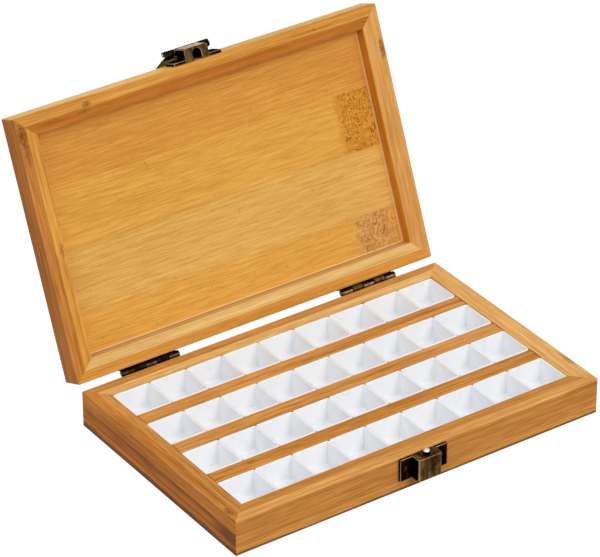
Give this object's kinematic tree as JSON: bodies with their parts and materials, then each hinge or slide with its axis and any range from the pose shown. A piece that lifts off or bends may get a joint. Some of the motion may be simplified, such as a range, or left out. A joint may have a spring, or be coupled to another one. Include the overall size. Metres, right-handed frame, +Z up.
{
  "type": "watercolour palette box",
  "caption": "Open bamboo palette box: lift-out square paint pans in rows between wooden dividers, a hinged lid with a recessed board, and a bronze lever latch.",
  "frame": {"origin": "the middle of the base's underside", "axes": "+X along the box to its right end as seen from the latch, +Y from the latch towards the hinges, +Z up"},
  "size_m": [0.2, 0.2108, 0.1426],
  "materials": {
    "bamboo_rails": "clear lacquer, satin gloss",
    "bamboo_boards": "clear lacquer, satin gloss",
    "bamboo_dividers": "clear lacquer, satin gloss",
    "white_plastic": "moulded gloss",
    "antique_bronze": "antique bronze plating, rubbed edges",
    "bronze_screws": "antique bronze plating",
    "steel": "polished"
  },
  "bodies": {
    "base": {"base_front_rail": "bamboo_rails", "base_back_rail": "bamboo_rails", "base_left_rail": "bamboo_rails", "base_right_rail": "bamboo_rails", "base_floor": "bamboo_boards", "divider_back": "bamboo_dividers", "divider_middle": "bamboo_dividers", "divider_front": "bamboo_dividers", "hinge_base_leaves": "antique_bronze", "hinge_pins": "steel", "latch_keeper": "antique_bronze", "latch_stud": "steel", "base_screws": "bronze_screws"},
    "lid": {"lid_front_rail": "bamboo_rails", "lid_back_rail": "bamboo_rails", "lid_left_rail": "bamboo_rails", "lid_right_rail": "bamboo_rails", "lid_board": "bamboo_boards", "hinge_lid_leaves": "antique_bronze", "latch_case": "antique_bronze", "latch_pin": "steel", "lid_screws": "bronze_screws"},
    "latch_lever": {"latch_lever": "antique_bronze"},
    "pan_r1_c1": {"pan_r1_c1": "white_plastic"},
    "pan_r1_c2": {"pan_r1_c2": "white_plastic"},
    "pan_r1_c3": {"pan_r1_c3": "white_plastic"},
    "pan_r1_c4": {"pan_r1_c4": "white_plastic"},
    "pan_r1_c5": {"pan_r1_c5": "white_plastic"},
    "pan_r1_c6": {"pan_r1_c6": "white_plastic"},
    "pan_r1_c7": {"pan_r1_c7": "white_plastic"},
    "pan_r1_c8": {"pan_r1_c8": "white_plastic"},
    "pan_r1_c9": {"pan_r1_c9": "white_plastic"},
    "pan_r2_c1": {"pan_r2_c1": "white_plastic"},
    "pan_r2_c2": {"pan_r2_c2": "white_plastic"},
    "pan_r2_c3": {"pan_r2_c3": "white_plastic"},
    "pan_r2_c4": {"pan_r2_c4": "white_plastic"},
    "pan_r2_c5": {"pan_r2_c5": "white_plastic"},
    "pan_r2_c6": {"pan_r2_c6": "white_plastic"},
    "pan_r2_c7": {"pan_r2_c7": "white_plastic"},
    "pan_r2_c8": {"pan_r2_c8": "white_plastic"},
    "pan_r2_c9": {"pan_r2_c9": "white_plastic"},
    "pan_r3_c1": {"pan_r3_c1": "white_plastic"},
    "pan_r3_c2": {"pan_r3_c2": "white_plastic"},
    "pan_r3_c3": {"pan_r3_c3": "white_plastic"},
    "pan_r3_c4": {"pan_r3_c4": "white_plastic"},
    "pan_r3_c5": {"pan_r3_c5": "white_plastic"},
    "pan_r3_c6": {"pan_r3_c6": "white_plastic"},
    "pan_r3_c7": {"pan_r3_c7": "white_plastic"},
    "pan_r3_c8": {"pan_r3_c8": "white_plastic"},
    "pan_r3_c9": {"pan_r3_c9": "white_plastic"},
    "pan_r4_c1": {"pan_r4_c1": "white_plastic"},
    "pan_r4_c2": {"pan_r4_c2": "white_plastic"},
    "pan_r4_c3": {"pan_r4_c3": "white_plastic"},
    "pan_r4_c4": {"pan_r4_c4": "white_plastic"},
    "pan_r4_c5": {"pan_r4_c5": "white_plastic"},
    "pan_r4_c6": {"pan_r4_c6": "white_plastic"},
    "pan_r4_c7": {"pan_r4_c7": "white_plastic"},
    "pan_r4_c8": {"pan_r4_c8": "white_plastic"},
    "pan_r4_c9": {"pan_r4_c9": "white_plastic"}
  },
  "joints": [
    {"name": "lid_hinge", "type": "hinge", "parent": "base", "child": "lid", "pos_m": [0, 0.06485, 0.01865], "axis": [-1, 0, 0], "range_deg": [-112.5, 0]},
    {"name": "latch_lever_hinge", "type": "hinge", "parent": "lid", "child": "latch_lever", "pos_m": [0, 0.12568, 0.13768], "axis": [-1, 0, 0], "range_deg": [-208, 0]},
    {"name": "pan_r1_c1_lift", "type": "slide", "parent": "base", "child": "pan_r1_c1", "axis": [0, 0, 1], "range_m": [0, 0.015]},
    {"name": "pan_r1_c2_lift", "type": "slide", "parent": "base", "child": "pan_r1_c2", "axis": [0, 0, 1], "range_m": [0, 0.015]},
    {"name": "pan_r1_c3_lift", "type": "slide", "parent": "base", "child": "pan_r1_c3", "axis": [0, 0, 1], "range_m": [0, 0.015]},
    {"name": "pan_r1_c4_lift", "type": "slide", "parent": "base", "child": "pan_r1_c4", "axis": [0, 0, 1], "range_m": [0, 0.015]},
    {"name": "pan_r1_c5_lift", "type": "slide", "parent": "base", "child": "pan_r1_c5", "axis": [0, 0, 1], "range_m": [0, 0.015]},
    {"name": "pan_r1_c6_lift", "type": "slide", "parent": "base", "child": "pan_r1_c6", "axis": [0, 0, 1], "range_m": [0, 0.015]},
    {"name": "pan_r1_c7_lift", "type": "slide", "parent": "base", "child": "pan_r1_c7", "axis": [0, 0, 1], "range_m": [0, 0.015]},
    {"name": "pan_r1_c8_lift", "type": "slide", "parent": "base", "child": "pan_r1_c8", "axis": [0, 0, 1], "range_m": [0, 0.015]},
    {"name": "pan_r1_c9_lift", "type": "slide", "parent": "base", "child": "pan_r1_c9", "axis": [0, 0, 1], "range_m": [0, 0.015]},
    {"name": "pan_r2_c1_lift", "type": "slide", "parent": "base", "child": "pan_r2_c1", "axis": [0, 0, 1], "range_m": [0, 0.015]},
    {"name": "pan_r2_c2_lift", "type": "slide", "parent": "base", "child": "pan_r2_c2", "axis": [0, 0, 1], "range_m": [0, 0.015]},
    {"name": "pan_r2_c3_lift", "type": "slide", "parent": "base", "child": "pan_r2_c3", "axis": [0, 0, 1], "range_m": [0, 0.015]},
    {"name": "pan_r2_c4_lift", "type": "slide", "parent": "base", "child": "pan_r2_c4", "axis": [0, 0, 1], "range_m": [0, 0.015]},
    {"name": "pan_r2_c5_lift", "type": "slide", "parent": "base", "child": "pan_r2_c5", "axis": [0, 0, 1], "range_m": [0, 0.015]},
    {"name": "pan_r2_c6_lift", "type": "slide", "parent": "base", "child": "pan_r2_c6", "axis": [0, 0, 1], "range_m": [0, 0.015]},
    {"name": "pan_r2_c7_lift", "type": "slide", "parent": "base", "child": "pan_r2_c7", "axis": [0, 0, 1], "range_m": [0, 0.015]},
    {"name": "pan_r2_c8_lift", "type": "slide", "parent": "base", "child": "pan_r2_c8", "axis": [0, 0, 1], "range_m": [0, 0.015]},
    {"name": "pan_r2_c9_lift", "type": "slide", "parent": "base", "child": "pan_r2_c9", "axis": [0, 0, 1], "range_m": [0, 0.015]},
    {"name": "pan_r3_c1_lift", "type": "slide", "parent": "base", "child": "pan_r3_c1", "axis": [0, 0, 1], "range_m": [0, 0.015]},
    {"name": "pan_r3_c2_lift", "type": "slide", "parent": "base", "child": "pan_r3_c2", "axis": [0, 0, 1], "range_m": [0, 0.015]},
    {"name": "pan_r3_c3_lift", "type": "slide", "parent": "base", "child": "pan_r3_c3", "axis": [0, 0, 1], "range_m": [0, 0.015]},
    {"name": "pan_r3_c4_lift", "type": "slide", "parent": "base", "child": "pan_r3_c4", "axis": [0, 0, 1], "range_m": [0, 0.015]},
    {"name": "pan_r3_c5_lift", "type": "slide", "parent": "base", "child": "pan_r3_c5", "axis": [0, 0, 1], "range_m": [0, 0.015]},
    {"name": "pan_r3_c6_lift", "type": "slide", "parent": "base", "child": "pan_r3_c6", "axis": [0, 0, 1], "range_m": [0, 0.015]},
    {"name": "pan_r3_c7_lift", "type": "slide", "parent": "base", "child": "pan_r3_c7", "axis": [0, 0, 1], "range_m": [0, 0.015]},
    {"name": "pan_r3_c8_lift", "type": "slide", "parent": "base", "child": "pan_r3_c8", "axis": [0, 0, 1], "range_m": [0, 0.015]},
    {"name": "pan_r3_c9_lift", "type": "slide", "parent": "base", "child": "pan_r3_c9", "axis": [0, 0, 1], "range_m": [0, 0.015]},
    {"name": "pan_r4_c1_lift", "type": "slide", "parent": "base", "child": "pan_r4_c1", "axis": [0, 0, 1], "range_m": [0, 0.015]},
    {"name": "pan_r4_c2_lift", "type": "slide", "parent": "base", "child": "pan_r4_c2", "axis": [0, 0, 1], "range_m": [0, 0.015]},
    {"name": "pan_r4_c3_lift", "type": "slide", "parent": "base", "child": "pan_r4_c3", "axis": [0, 0, 1], "range_m": [0, 0.015]},
    {"name": "pan_r4_c4_lift", "type": "slide", "parent": "base", "child": "pan_r4_c4", "axis": [0, 0, 1], "range_m": [0, 0.015]},
    {"name": "pan_r4_c5_lift", "type": "slide", "parent": "base", "child": "pan_r4_c5", "axis": [0, 0, 1], "range_m": [0, 0.015]},
    {"name": "pan_r4_c6_lift", "type": "slide", "parent": "base", "child": "pan_r4_c6", "axis": [0, 0, 1], "range_m": [0, 0.015]},
    {"name": "pan_r4_c7_lift", "type": "slide", "parent": "base", "child": "pan_r4_c7", "axis": [0, 0, 1], "range_m": [0, 0.015]},
    {"name": "pan_r4_c8_lift", "type": "slide", "parent": "base", "child": "pan_r4_c8", "axis": [0, 0, 1], "range_m": [0, 0.015]},
    {"name": "pan_r4_c9_lift", "type": "slide", "parent": "base", "child": "pan_r4_c9", "axis": [0, 0, 1], "range_m": [0, 0.015]}
  ]
}
